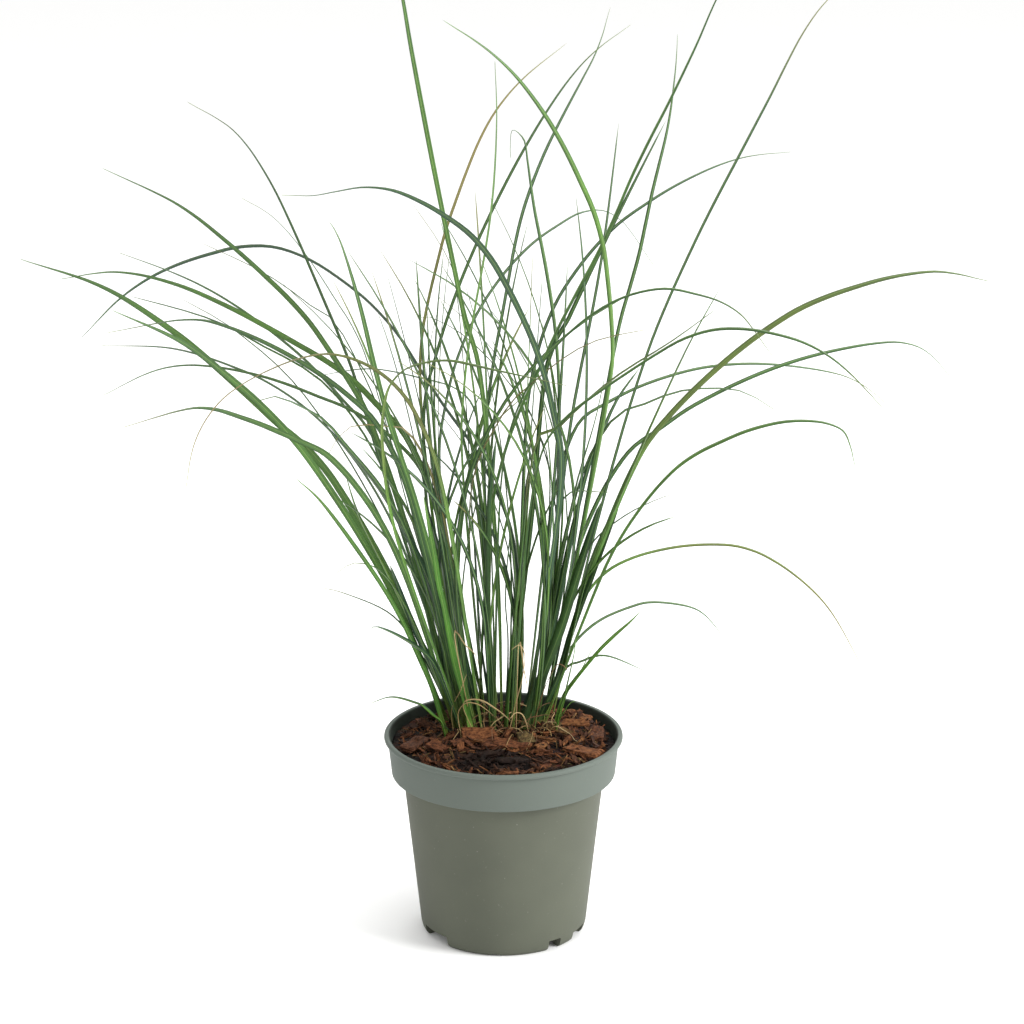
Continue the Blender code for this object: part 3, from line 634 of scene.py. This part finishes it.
def growBlade(bm, layers, spine, around, tone, dryness, mapRow, mapRows, foldScale=1.0,
              slimFoot=True):
    rings = len(spine) - 1
    travelled = [0.0]
    for start, end in zip(spine, spine[1:]):
        travelled.append(travelled[-1] + (end[0] - start[0]).length)
    ringVerts = bmesh.ops.create_grid(bm, x_segments=around, y_segments=rings, size=0.5,
                                      calc_uvs=True)["verts"]
    uvLayer = bm.loops.layers.uv["OFBake"]
    endGap, sideGap = leafSettings["mapMargins"]
    foldRows = leafSettings["mapRows"] if mapRows == 0 else 1
    totalRows = foldRows if mapRows == 0 else mapRows
    for face in {face for vert in ringVerts for face in vert.link_faces}:
        middle = sum(loop[uvLayer].uv.y for loop in face.loops) / len(face.loops)
        row = mapRow + int(middle * foldRows)
        for loop in face.loops:
            along = loop[uvLayer].uv.y * foldRows - int(middle * foldRows)
            wrapped = loop[uvLayer].uv.x
            loop[uvLayer].uv = (endGap + (1 - 2 * endGap) * along,
                                (row + sideGap + (1 - 2 * sideGap) * wrapped) / totalRows)
    for vert in ringVerts:
        wrapped = vert.co.x + 0.5
        ring = round((vert.co.y + 0.5) * rings)
        share = travelled[ring] / travelled[-1]
        centre, side, width = spine[ring]
        ahead = (spine[min(ring + 1, rings)][0] - spine[max(ring - 1, 0)][0]).normalized()
        side = (side - ahead * side.dot(ahead)).normalized()
        faceUp = ahead.cross(side)
        if share > leafSettings["tipStarts"]:
            near = (share - leafSettings["tipStarts"]) / (1 - leafSettings["tipStarts"])
            width *= 1 - leafSettings["tipNarrows"] * near ** 2
        footShare = leafSettings["footShare"] if slimFoot else 1.0
        width *= footShare + (1 - footShare) * min(1.0, share / leafSettings["unfolded"])
        openness = min(1.0, share / leafSettings["foldOpens"])
        fold = math.radians(foldScale * (leafSettings["sheathFold"] * (1 - openness)
                                         + leafSettings["bladeFold"] * openness))
        across = 1 - 4 * wrapped if wrapped <= 0.5 else 4 * wrapped - 3
        skin = (1 if wrapped <= 0.5 else -1) * (1 - across * across) * 0.5
        tipSkin = leafSettings["tipSkin"]
        skin *= leafSettings["thickness"] * (tipSkin + (1 - tipSkin) * (1 - share))
        if ring in (0, rings):
            width = skin = 0.0
        half = 0.5 * width
        vert.co = (centre + side * (across * half * math.cos(fold))
                   + faceUp * (abs(across) * half * math.sin(fold) + skin))
        vert[layers["alongLeaf"]] = share
        vert[layers["acrossLeaf"]] = across * half / mm
        grown = min(1.0, max(0.0, (share - 0.2) / 0.3))
        vert[layers["leafTone"]] = min(tone, 0.6) * (1 - grown) + tone * grown
        vert[layers["leafDryness"]] = dryness


def newLeafMesh():
    bm = bmesh.new()
    bm.loops.layers.uv.new("OFBake")
    return bm, {name: bm.verts.layers.float.new(name) for name in leafLayers}


def finishLeaves(name, bm, material, replaced=()):
    bmesh.ops.remove_doubles(bm, verts=bm.verts, dist=0.004 * mm)
    return finishPiece(name, bm, material, replaced)


# tone and dryness of each long leaf; tone runs blue-green 0, green 0.5, bright 0.75, brown 1
longLeafLooks = [
    (0.60, 0.0), (0.72, 0.0), (0.95, 0.9), (0.75, 0.0), (0.10, 0.2), (0.30, 0.3), (0.35, 0.1),
    (0.50, 0.1), (0.20, 0.5), (0.05, 0.1), (0.40, 0.1), (0.08, 0.2), (0.40, 0.3), (0.86, 0.0),
    (0.35, 0.2), (0.45, 0.3), (0.30, 0.4), (0.62, 0.1), (0.90, 0.7), (0.25, 0.2), (0.30, 0.3),
    (0.20, 0.3), (0.12, 0.2), (0.55, 0.1), (0.05, 0.1), (0.50, 0.1), (0.40, 0.2), (0.70, 0.0),
    (0.35, 0.3), (0.66, 0.0), (0.55, 0.1), (0.30, 0.3), (0.45, 0.2), (0.50, 0.4), (0.92, 0.8),
    (0.84, 0.3), (0.30, 0.2)]


def sinkFoot(spine):  # a blade starts a little under the compost
    foot = spine[0]
    return [[foot[0] - Vector((0, 0, leafSettings["rootDepth"])), foot[1], foot[2]]] + spine


def makeFrameLeaf(nodeName, pieceName, material, slotName, tone, dryness, foldScale=1.0,
                  slimness=None):
    bm, layers = newLeafMesh()
    spine = sinkFoot(denseSpine(frameSpine(nodeName), leafSettings["ringsLong"] - 1))
    if slimness is None:
        inFan = spine[-1][0].x < leafSettings["leftFan"]
        slimness = leafSettings["leftBreadth" if inFan else "breadth"]
    for station in spine:
        station[2] *= slimness
    growBlade(bm, layers, spine, leafSettings["around"], tone, dryness, 0, 0, foldScale,
              slotName == "leaf_green")
    finishLeaves(pieceName, bm, material, [nodeName])


for number, (tone, dryness) in enumerate(longLeafLooks, start=1):
    makeFrameLeaf(f"leaf_{number:02}", f"grass_blade_{number:02}", greenLeaf, "leaf_green",
                  tone, dryness)
for where, tone in (("left", 0.35), ("centre", 0.5), ("right", 0.7)):
    makeFrameLeaf(f"side_shoot_{where}", f"young_blade_{where}", youngLeaf, "young_leaf",
                  tone, 0.1, foldScale=0.8, slimness=0.95)
for number, tone in enumerate((0.6, 0.85, 0.1), start=1):
    makeFrameLeaf(f"dry_leaf_{number}", f"straw_blade_{number}", straw, "straw", tone, 0.5,
                  foldScale=0.6, slimness=0.45)
print("long leaves made")


# medium leaves follow routes (right, up) drawn from the front, in centimetres
routeSettings = {
    "seed": 7,
    "crownBack": 1.8,
    "depthLaw": 1.7,  # a leaf leaves its shoot's depth slowly, then faster
    "ringsMedium": 26,
    "aroundMedium": 4,
    "sheathWidening": 1.35,
    "sheathEnds": 0.3,
    "taperFrom": 0.55,
    "taper": 0.5,
    "taperLaw": 1.6,
    "footUp": 16.2,  # height of a foot as it is drawn
    "rolls": ((55, 90), (20, 60)),  # degrees that a blade is turned at its foot and its tip
    "breadth": 1.2,  # the widths below are what shows of half-rolled blades
}

# foot (right, back), tip's depth, width in mm, (tone, dryness), route
rightRoutes = [
    ((2.9, 0.9), -6, 4.5, (0.78, 0), [(4.6, 21), (6.7, 30), (8.6, 34.7), (10.8, 40.1),
     (14.1, 47.8), (16.7, 52.9)]),
    ((1.2, 0), -9, 3.4, (0.86, 0), [(2.2, 38.5), (4.2, 41.4), (8.3, 45.3), (12.9, 48.4),
     (16.7, 51.3)]),
    ((0.5, 3.1), 10, 3.4, (0.35, 0), [(2.2, 34), (3.3, 46.1), (5.2, 50.6), (7.7, 56.1),
     (9.6, 60.1), (12.3, 65.6)]),
    ((2.4, 2), 14, 2.5, (0.1, 0.1), [(4.4, 35.1), (5.3, 42.6), (7.1, 52.5), (7.9, 58.2),
     (8.7, 65.4)]),
    ((2.6, 3.1), 10, 2, (0.2, 0.3), [(5.4, 35.1), (8.2, 41.9), (11, 43.5), (13.7, 44.5),
     (16.9, 44.7), (19, 44.2), (21.8, 42.4)]),
    ((3.1, 1.4), 4, 2, (0.15, 0.2), [(4.8, 21.6), (6.1, 22.4), (8.1, 22.9), (11.3, 21.6)]),
    ((2.8, 4.4), 12, 3.4, (0.15, 0.0), [(6, 36.1), (8, 42.1), (9, 44.2), (10.6, 46.5)]),
    ((3.3, 2.2), 2, 1.8, (0.05, 0.3), [(5.4, 28), (6.8, 32), (9.4, 34.4), (12, 35.8),
     (13.5, 36.3)]),
    ((2.1, 3.4), 6, 1.7, (0.05, 0.3), [(4, 33), (5, 36.2), (7.3, 36.4), (8.6, 36.3)]),
    ((2.5, 4), 5, 3.9, (0.3, 0.0), [(3.5, 25.9), (4.2, 32.4), (4.3, 39), (4.4, 44.1)]),
    ((2.8, 1.9), 0, 3.9, (0.5, 0.0), [(4.2, 29.2), (5.4, 35.3), (5.9, 37.7), (7.1, 42.1),
     (7.9, 46.1)]),
]
centreRoutes = [
    ((-1.5, 0.8), -8, 2, (1.0, 0.6), [(-2.6, 35.1), (-0.15, 42.37), (2.6, 45.4), (5.1, 47.4),
     (7.5, 48.6), (11.7, 49.5)]),
    ((2.2, 3.1), 12, 2.9, (0.4, 0.2), [(3.6, 36.1), (2.5, 41.7), (0, 45.7), (-2.9, 48.8),
     (-5.5, 50.3), (-6.9, 50.3)]),
    ((-2.9, 2), 6, 2, (0.2, 0.2), [(-5.2, 34), (-5.9, 45.1), (-5.22, 49.98), (-4.82, 50.88),
     (-4.3, 50.4)]),
    ((-1.7, 3.5), 10, 1.8, (0.3, 0.5), [(-2.8, 42.1), (-3.6, 52.7), (-4.6, 55.7), (-7.1, 59.5)]),
    ((-2.2, 1.8), -6, 2, (1.0, 0.8), [(-4.6, 34), (-7, 40.8), (-9.6, 41.7), (-11.9, 41.6),
     (-13.3, 40), (-13.7, 38.1)]),
]
leftRoutes = [
    ((-3.6, 2.8), 12, 2.2, (0.3, 0.4), [(-8, 38.1), (-12.2, 48.8), (-14.8, 51.3), (-18.4, 53.9),
     (-23.5, 56.4)]),
    ((-4, 3.1), 6, 2.2, (0.25, 0.3), [(-9, 33), (-15, 43.7), (-20.3, 49.1), (-25.1, 52.1)]),
    ((-3.4, 4.1), 18, 3.4, (0.45, 0.2), [(-7.6, 34), (-12.9, 44.1), (-19.1, 48.4), (-22.8, 50.3),
     (-28.9, 52.1)]),
    ((-3.1, 0.9), -10, 2.7, (0.35, 0.3), [(-7.5, 33), (-12.6, 40.7), (-14.6, 42.7), (-18, 44.1),
     (-19.9, 42.6)]),
    ((-3.8, 0.5), -4, 1.8, (0.45, 0.5), [(-7, 25.5), (-9.3, 29.6), (-11.4, 30.6), (-12.8, 30),
     (-13.4, 29.1)]),
    ((-3.9, 1.6), 3, 1.7, (0.05, 0.5), [(-6.5, 23), (-8.8, 26.3), (-12.5, 28.1), (-14.5, 28.6)]),
    ((-3.4, -0.8), -5, 3.4, (0.15, 0.1), [(-5.3, 21.9), (-7.2, 23.9), (-9.93, 25.32),
     (-10.6, 24.8)]),
    ((-4, -1.5), -5, 2, (0.3, 0.2), [(-6, 18.4), (-7.1, 19), (-8.88, 19.43), (-10.6, 18.9)]),
    ((-3.8, 1.1), 0, 2.9, (0.78, 0.1), [(-8.3, 28), (-11.2, 34.3), (-12.3, 38)]),
    ((-2.9, 0.9), -3, 5, (0.1, 0.1), [(-5.4, 27.8), (-8.4, 34.5), (-10.4, 37.7), (-14.1, 42.2)]),
]
youngRoutes = [
    ((4.1, -1.2), -2, 4.0, (0.6, 0.0), [(4.6, 18.6), (5, 20.1), (5.6, 23.1), (5.7, 24.4)]),
    ((4.2, -1.4), -3, 2.5, (0.5, 0.0), [(4.4, 17.4), (5.2, 18.8), (5.7, 19.1)]),
    ((4.2, -0.8), -2, 1.5, (0.8, 0.0), [(5, 19.6), (6, 21.4), (7.2, 23.9)]),
    ((-4.6, -1.9), -3, 1.6, (0.5, 0.0), [(-4.9, 17.3), (-5.7, 18), (-6.6, 18.9)]),
]
# the shoots' own sheaths, wide and folded, in the same form
sheathRoutes = [
    ((-1.7, -0.6), 1, 4.6, (0.3, 0), [(-2.9, 21.9), (-3.8, 26.4), (-4.3, 28.8), (-5, 33)]),
    ((-3.3, 0.7), -1, 4.4, (0.05, 0), [(-5.7, 22.4), (-6.9, 24.9), (-8.9, 30.5)]),
    ((-0.6, -1), 0, 7.4, (0.4, 0), [(-1, 24.9), (-1, 32), (-0.9, 35.8), (-0.55, 40.67)]),
    ((0.3, 0), 1, 3.4, (0.2, 0), [(0.4, 24), (0.2, 28), (0.6, 34)]),
    ((1.7, -1.1), 1, 7.6, (0.45, 0), [(3.2, 21.4), (4.6, 25.3), (6.2, 30.8), (7.6, 35.6)]),
    ((1.4, 1.1), 2, 3.6, (0.1, 0), [(2.4, 20.9), (3.1, 25.9), (3.5, 28.8), (4.4, 35.1)]),
    ((0.3, -1.7), -2, 4.2, (0.72, 0), [(0.7, 22.9), (1.3, 29.8), (1.9, 36.1)]),
    ((2.6, 0.5), 3, 4.4, (0.3, 0), [(4.4, 21.3), (5.4, 24.9), (7.3, 30.3), (9, 35.1)]),
    ((-2.6, 3.7), 5, 3.8, (0.2, 0), [(-3.7, 24), (-4.9, 31), (-6.2, 36.1)]),
    ((0.7, 4.1), 6, 4.2, (0.35, 0), [(1, 24), (1.4, 31), (1.9, 38.1)]),
    ((-1.2, 5), 8, 3.6, (0.15, 0), [(-1.8, 24), (-2.2, 31), (-2.6, 36.1)]),
    ((2.2, 4.6), 8, 3.8, (0.3, 0), [(3.6, 24), (4.9, 31), (5.9, 36.1)]),
]


def alongSight(right, up, back):  # moves a front-drawn point back along the line of sight
    drawn = Vector((right, 0, up))
    share = (back - sightFrom.y) / -sightFrom.y
    return (sightFrom + (drawn - sightFrom) * share) * cm


def bladeWidth(share):
    sheath = 1 - share / routeSettings["sheathEnds"]
    tapered = (share - routeSettings["taperFrom"]) / (1 - routeSettings["taperFrom"])
    return ((1 + (routeSettings["sheathWidening"] - 1) * max(0.0, sheath))
            * (1 - routeSettings["taper"] * max(0.0, tapered) ** routeSettings["taperLaw"]))


def routeSpine(points, width, rolls, rings):
    fine = [smoothAt(points, step / 12) for step in range(12 * (len(points) - 1) + 1)]
    travelled = [0.0]
    for start, end in zip(fine, fine[1:]):
        travelled.append(travelled[-1] + (end - start).length)
    lean = (fine[-1] - fine[0]).to_2d()
    level = Vector((-lean.y, lean.x, 0)).normalized()
    spine = []
    at = 0
    for ring in range(rings + 1):
        share = ring / rings
        while at < len(fine) - 2 and travelled[at + 1] < share * travelled[-1]:
            at += 1
        part = (share * travelled[-1] - travelled[at]) / (travelled[at + 1] - travelled[at])
        ahead = (fine[at + 1] - fine[at]).normalized()
        side = (level - ahead * level.dot(ahead)).normalized()
        side.rotate(Matrix.Rotation(math.radians(rolls[0] + (rolls[1] - rolls[0]) * share),
                                    3, ahead))
        spine.append([fine[at].lerp(fine[at + 1], part), side, width * bladeWidth(share)])
    return spine


def sketchedSpine(foot, tipBack, width, route, rolls):
    footRight, footBack = foot[0], foot[1] + routeSettings["crownBack"]
    start = Vector((footRight * cm, footBack * cm, 0))
    start.z = soilHeight(start.x, start.y)
    lengths = [0.0]
    for first, second in zip([(footRight, routeSettings["footUp"])] + route, route):
        lengths.append(lengths[-1] + math.dist(first, second))
    points = [start]
    for (right, up), length in zip(route, lengths[1:]):
        share = (length / lengths[-1]) ** routeSettings["depthLaw"]
        points.append(alongSight(right, up, footBack + (tipBack - footBack) * share))
    return routeSpine(points, width * routeSettings["breadth"] * mm, rolls,
                      routeSettings["ringsMedium"])


def makeSketchedLeaves(name, routes, material, foldScale=1.0, slimFoot=True):
    bm, layers = newLeafMesh()
    for row, (foot, tipBack, width, look, route) in enumerate(routes):
        rolls = [random.uniform(*degrees) for degrees in routeSettings["rolls"]]
        spine = sinkFoot(sketchedSpine(foot, tipBack, width, route, rolls))
        growBlade(bm, layers, spine, routeSettings["aroundMedium"], *look, row, len(routes),
                  foldScale, slimFoot)
    finishLeaves(name, bm, material)


random.seed(routeSettings["seed"])
makeSketchedLeaves("slim_blades_right", rightRoutes, greenLeaf)
makeSketchedLeaves("slim_blades_centre", centreRoutes, greenLeaf)
makeSketchedLeaves("slim_blades_left", leftRoutes, greenLeaf)
makeSketchedLeaves("young_side_blades", youngRoutes, youngLeaf, foldScale=0.7)
makeSketchedLeaves("shoot_sheaths", sheathRoutes, greenLeaf, slimFoot=False)
print("slim leaves made")


# inner leaves fill the clump all round
innerSettings = {
    "seed": 23,
    # side: (count, share that lean across the clump from its far side, commonest end lean)
    "sides": {"right": (9, 0.4, 30), "back": (11, 0.45, 26), "left": (26, 0.15, 56),
              "front": (8, 0.45, 24)},
    "shoots": [  # (right, back) of the shoots' feet, in centimetres
        (-3.9, 2.0), (-3.2, 3.6), (-2.7, 1.0), (-1.2, 5.6), (-1.0, 0.4), (-0.6, 3.4), (0.2, 6.0),
        (0.6, 1.4), (0.9, 4.4), (2.2, 0.6), (2.5, 5.4), (2.9, 2.6), (3.4, 3.9), (-3.3, 5.4)],
    "shootSpread": 0.3,
    "crownCentre": (-0.3, 3.2),
    "lengths": (22, 44),  # centimetres
    "widths": (2.2, 3.8),  # millimetres
    "leanPerCm": 2.6,  # degrees that a shoot leans for each centimetre from the crown's middle
    "endLean": (8, 78),
    "crossLean": (12, 44, 24),  # least, most and commonest, in degrees from upright
    "crossTurnsFrom": 0.04,  # a leaf keeps to its shoot up to here
    "turnsFrom": 0.22,
    "turnLaw": 1.15,
    "rolls": ((40, 120), (10, 90)),
    "tones": (0.1, 0.2, 0.35, 0.45, 0.5, 0.6, 0.7),
    "dryness": (0, 0.1, 0.2, 0.5),
    "steps": 9,
    "rings": 22,
}


def innerSpine(heading, crossing, commonLean):
    crosses = random.random() < crossing
    tried = [random.choice(innerSettings["shoots"]) for attempt in range(3)]
    footRight, footBack = tried[0] if not crosses else min(
        tried, key=lambda foot: foot[0] * math.cos(heading) + (foot[1] - 3) * math.sin(heading))
    spread = innerSettings["shootSpread"]
    right = footRight + random.uniform(-spread, spread)
    back = footBack + random.uniform(-spread, spread)
    outRight = right - innerSettings["crownCentre"][0]
    outBack = back - innerSettings["crownCentre"][1]
    shootLean = math.radians(innerSettings["leanPerCm"] * math.hypot(outRight, outBack))
    shootHeading = math.atan2(outBack, outRight)
    place = Vector((right * cm, back * cm, 0))
    place.z = soilHeight(place.x, place.y)
    endLean = math.radians(random.triangular(*innerSettings["crossLean"]) if crosses
                           else random.triangular(*innerSettings["endLean"], commonLean))
    shoot = Vector((math.sin(shootLean) * math.cos(shootHeading),
                    math.sin(shootLean) * math.sin(shootHeading), math.cos(shootLean)))
    end = Vector((math.sin(endLean) * math.cos(heading),
                  math.sin(endLean) * math.sin(heading), math.cos(endLean)))
    length = random.uniform(*innerSettings["lengths"]) * cm
    turnsFrom = innerSettings["crossTurnsFrom" if crosses else "turnsFrom"]
    points = [place]
    for step in range(innerSettings["steps"]):
        share = (step + 0.5) / innerSettings["steps"]
        turned = max(0.0, (share - turnsFrom) / (1 - turnsFrom)) ** innerSettings["turnLaw"]
        forward = shoot.lerp(end, turned).normalized()
        points.append(points[-1] + forward * length / innerSettings["steps"])
    width = random.uniform(*innerSettings["widths"]) * mm
    rolls = [random.uniform(*degrees) for degrees in innerSettings["rolls"]]
    return routeSpine(points, width, rolls, innerSettings["rings"])


random.seed(innerSettings["seed"])
for sideNumber, (sideName, side) in enumerate(innerSettings["sides"].items()):
    bm, layers = newLeafMesh()
    count, crossing, commonLean = side
    for row in range(count):
        heading = math.radians(90 * sideNumber + random.uniform(-45, 45))
        spine = sinkFoot(innerSpine(heading, crossing, commonLean))
        growBlade(bm, layers, spine, routeSettings["aroundMedium"],
                  random.choice(innerSettings["tones"]), random.choice(innerSettings["dryness"]),
                  row, count)
    finishLeaves(f"inner_blades_{sideName}", bm, greenLeaf)
print("inner leaves made")


# straw curls round the foot of the clump
strawRoutes = [
    ((-2.4, -1.6), -4, 1.2, (0.8, 0), [(-3.84, 24.61), (-3, 23.8), (-2.2, 23), (-1.94, 22)]),
    ((1.0, -2.2), -3.6, 1.3, (0.9, 0), [(1.2, 23.8), (1.5, 22.9), (1.6, 21.9), (1.8, 20.9),
     (1.95, 19.89)]),
    ((-2.2, -2.2), -4.2, 1.2, (0.7, 0), [(-3.2, 18.8), (-1.9, 19.2), (-0.4, 18.3), (0.6, 17.4)]),
    ((2.1, -2.2), -4.4, 1.0, (0.8, 0), [(1.6, 17.8), (1, 18.1), (0.5, 17.6)]),
    ((-4.0, -1.0), -3.0, 1.1, (0.75, 0), [(-4.1, 18.4), (-3.4, 20), (-2.9, 21.4)]),
]
tangleSettings = {
    "seed": 3,
    "count": 34,
    "across": (-3.6, 3.6),  # centimetres
    "back": (-1.4, 1.6),
    "lengths": (18, 52),  # millimetres
    "widths": (0.5, 1.1),
    "steps": 7,
    "rings": 14,
    "bend": 34,  # degrees at each step
}


def tangledSpine():
    settings = tangleSettings
    place = Vector((random.uniform(*settings["across"]) * cm,
                    random.uniform(*settings["back"]) * cm, 0))
    place.z = soilHeight(place.x, place.y) + 2 * mm
    heading = random.uniform(0, 2 * math.pi)
    rise = math.radians(random.uniform(25, 80))
    step = random.uniform(*settings["lengths"]) * mm / settings["steps"]
    bend = math.radians(settings["bend"])
    points = [place]
    for number in range(settings["steps"]):
        forward = Vector((math.cos(rise) * math.cos(heading), math.cos(rise) * math.sin(heading),
                          math.sin(rise)))
        points.append(points[-1] + forward * step)
        points[-1].z = max(points[-1].z, place.z)
        rise -= bend * random.uniform(0.2, 1.0)
        heading += bend * random.uniform(-1, 1)
    width = random.uniform(*settings["widths"]) * mm
    return routeSpine(points, width, (0, random.uniform(0, 200)), settings["rings"])


random.seed(tangleSettings["seed"])
makeSketchedLeaves("straw_curls", strawRoutes, straw, foldScale=0.5)
bm, layers = newLeafMesh()
for row in range(tangleSettings["count"]):
    growBlade(bm, layers, tangledSpine(), routeSettings["aroundMedium"], random.random(), 0,
              row, tangleSettings["count"], 0.5)
finishLeaves("straw_tangle", bm, straw)
print("straw made")


# floor, light and camera
studioSettings = {
    "floorRadius": 8.0,
    "floorColour": "#fafaf9",
    "worldStrength": 1.0,
    # name: place, size, power
    "lamps": {"key": ((2.6, -1.0, 1.7), 1.4, 104), "fill": ((-2.2, -1.4, 1.6), 2.0, 1),
              "top": ((0.0, 0.4, 2.6), 1.6, 22), "back": ((0.8, 2.4, 1.8), 1.8, 14)},
    "lookAt": (0, 0, 0.35),
    "cameraPlace": (0.0068, -2.332, 1.053),
    "cameraTilt": 73.174,
    "lens": 110.0,
    "sensor": 36,
}


def makeStudio():
    bm = bmesh.new()
    bmesh.ops.create_circle(bm, cap_ends=True, segments=96, radius=studioSettings["floorRadius"])
    mesh = bpy.data.meshes.new("studio_floor")
    bm.to_mesh(mesh)
    bm.free()
    card, tree, shader = newMaterial("matt white studio card")
    setInputs(tree, shader, {"Base Color": studioSettings["floorColour"], "Roughness": 0.9})
    mesh.materials.append(card)
    floor = bpy.data.objects.new("studio_floor", mesh)
    scene.collection.objects.link(floor)
    for name, (place, size, power) in studioSettings["lamps"].items():
        light = bpy.data.lights.new(name, "AREA")
        light.shape = "DISK"
        light.size = size
        light.energy = power
        lamp = bpy.data.objects.new(name, light)
        lamp.location = place
        aim = Vector(studioSettings["lookAt"]) - Vector(place)
        lamp.rotation_euler = aim.to_track_quat("-Z", "Y").to_euler()
        scene.collection.objects.link(lamp)
    world = bpy.data.worlds.new("studio air")
    scene.world = world
    world.use_nodes = True
    air = world.node_tree.nodes["Background"]
    air.inputs["Color"].default_value = hexColour("#ffffff")
    air.inputs["Strength"].default_value = studioSettings["worldStrength"]
    camera = bpy.data.cameras.new("camera")
    camera.lens = studioSettings["lens"]
    camera.sensor_width = studioSettings["sensor"]
    eye = bpy.data.objects.new("camera", camera)
    eye.location = studioSettings["cameraPlace"]
    eye.rotation_euler = (math.radians(studioSettings["cameraTilt"]), 0, 0)
    scene.collection.objects.link(eye)
    scene.camera = eye
    scene.view_settings.view_transform = "Standard"


makeStudio()
print("studio made")
